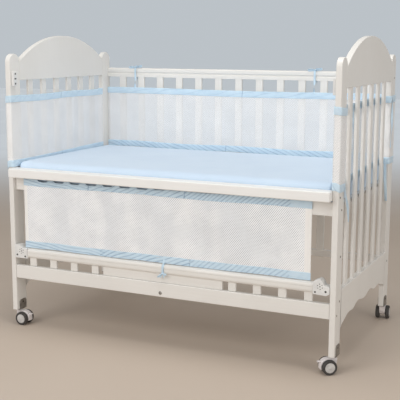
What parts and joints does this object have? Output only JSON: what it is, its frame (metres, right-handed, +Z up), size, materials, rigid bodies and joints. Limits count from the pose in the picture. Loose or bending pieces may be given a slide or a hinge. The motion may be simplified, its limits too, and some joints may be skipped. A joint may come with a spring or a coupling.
{
  "type": "mesh crib bumper on a crib",
  "caption": "Sheer mesh crib bumper with bound edges and ribbon ties, fitted inside a slatted wooden crib with its mattress, its drop side lowered, on twin-wheel casters.",
  "frame": {"origin": "middle of the footprint, on the floor", "axes": "+X along the crib to the end with the loose ribbons, +Y from the lowered drop side to the back, +Z up"},
  "size_m": [1.2792, 0.7572, 1.0755],
  "materials": {
    "paint": "satin white paint",
    "net": "sheer white spacer mesh",
    "band": "light blue woven binding",
    "sheet": "plain fitted sheet",
    "plastic": "white moulded",
    "tread": "dark wheel",
    "steel": "pressed clip"
  },
  "bodies": {
    "crib": {"back_side": "paint", "band_low_back": "band", "band_low_front": "band", "band_low_left": "band", "band_low_right": "band", "band_top_back": "band", "band_top_front": "band", "band_top_left": "band", "band_top_right": "band", "bumper_net_back": "net", "bumper_net_front": "net", "bumper_net_left": "net", "bumper_net_right": "net", "clip_back_left": "steel", "clip_back_right": "steel", "clip_front_left": "steel", "clip_front_right": "steel", "drop_bracket_left": "plastic", "drop_bracket_right": "plastic", "drop_side": "paint", "end_panel_left": "paint", "end_panel_right": "paint", "front_beam": "paint", "low_beam": "paint", "mattress": "sheet", "mattress_base": "paint", "post_back_left": "paint", "post_back_right": "paint", "post_front_left": "paint", "post_front_right": "paint", "ribbon_low_back": "band", "ribbon_low_front": "band", "ribbon_top_back": "band", "ribbon_top_front": "band", "side_catch_left": "plastic", "side_catch_right": "plastic", "tie_back_left": "band", "tie_back_right": "band", "tie_front": "band"},
    "swivel_front_left": {"hood_front_left": "plastic"},
    "wheel_front_left_a": {"wheel_front_left_a": "tread"},
    "wheel_front_left_b": {"wheel_front_left_b": "tread"},
    "swivel_front_right": {"hood_front_right": "plastic"},
    "wheel_front_right_a": {"wheel_front_right_a": "tread"},
    "wheel_front_right_b": {"wheel_front_right_b": "tread"},
    "swivel_back_left": {"hood_back_left": "plastic"},
    "wheel_back_left_a": {"wheel_back_left_a": "tread"},
    "wheel_back_left_b": {"wheel_back_left_b": "tread"},
    "swivel_back_right": {"hood_back_right": "plastic"},
    "wheel_back_right_a": {"wheel_back_right_a": "tread"},
    "wheel_back_right_b": {"wheel_back_right_b": "tread"}
  },
  "joints": [
    {"name": "swivel_turn_front_left", "type": "hinge", "parent": "crib", "child": "swivel_front_left", "pos_m": [-0.61645, -0.31761, 0.056], "axis": [0, 0, 1], "continuous": true},
    {"name": "wheel_spin_front_left_a", "type": "hinge", "parent": "swivel_front_left", "child": "wheel_front_left_a", "pos_m": [-0.59645, -0.31761, 0.025], "axis": [0, 1, 0], "continuous": true},
    {"name": "wheel_spin_front_left_b", "type": "hinge", "parent": "swivel_front_left", "child": "wheel_front_left_b", "pos_m": [-0.59645, -0.31761, 0.025], "axis": [0, 1, 0], "continuous": true},
    {"name": "swivel_turn_front_right", "type": "hinge", "parent": "crib", "child": "swivel_front_right", "pos_m": [0.61355, -0.31761, 0.056], "axis": [0, 0, 1], "continuous": true},
    {"name": "wheel_spin_front_right_a", "type": "hinge", "parent": "swivel_front_right", "child": "wheel_front_right_a", "pos_m": [0.59757, -0.32964, 0.025], "axis": [0.6018, -0.7986, 0], "continuous": true},
    {"name": "wheel_spin_front_right_b", "type": "hinge", "parent": "swivel_front_right", "child": "wheel_front_right_b", "pos_m": [0.59757, -0.32964, 0.025], "axis": [0.6018, -0.7986, 0], "continuous": true},
    {"name": "swivel_turn_back_left", "type": "hinge", "parent": "crib", "child": "swivel_back_left", "pos_m": [-0.61645, 0.32239, 0.056], "axis": [0, 0, 1], "continuous": true},
    {"name": "wheel_spin_back_left_a", "type": "hinge", "parent": "swivel_back_left", "child": "wheel_back_left_a", "pos_m": [-0.60645, 0.33971, 0.025], "axis": [-0.866, 0.5, 0], "continuous": true},
    {"name": "wheel_spin_back_left_b", "type": "hinge", "parent": "swivel_back_left", "child": "wheel_back_left_b", "pos_m": [-0.60645, 0.33971, 0.025], "axis": [-0.866, 0.5, 0], "continuous": true},
    {"name": "swivel_turn_back_right", "type": "hinge", "parent": "crib", "child": "swivel_back_right", "pos_m": [0.61355, 0.32239, 0.056], "axis": [0, 0, 1], "continuous": true},
    {"name": "wheel_spin_back_right_a", "type": "hinge", "parent": "swivel_back_right", "child": "wheel_back_right_a", "pos_m": [0.61111, 0.34224, 0.025], "axis": [-0.9925, -0.1219, 0], "continuous": true},
    {"name": "wheel_spin_back_right_b", "type": "hinge", "parent": "swivel_back_right", "child": "wheel_back_right_b", "pos_m": [0.61111, 0.34224, 0.025], "axis": [-0.9925, -0.1219, 0], "continuous": true}
  ]
}
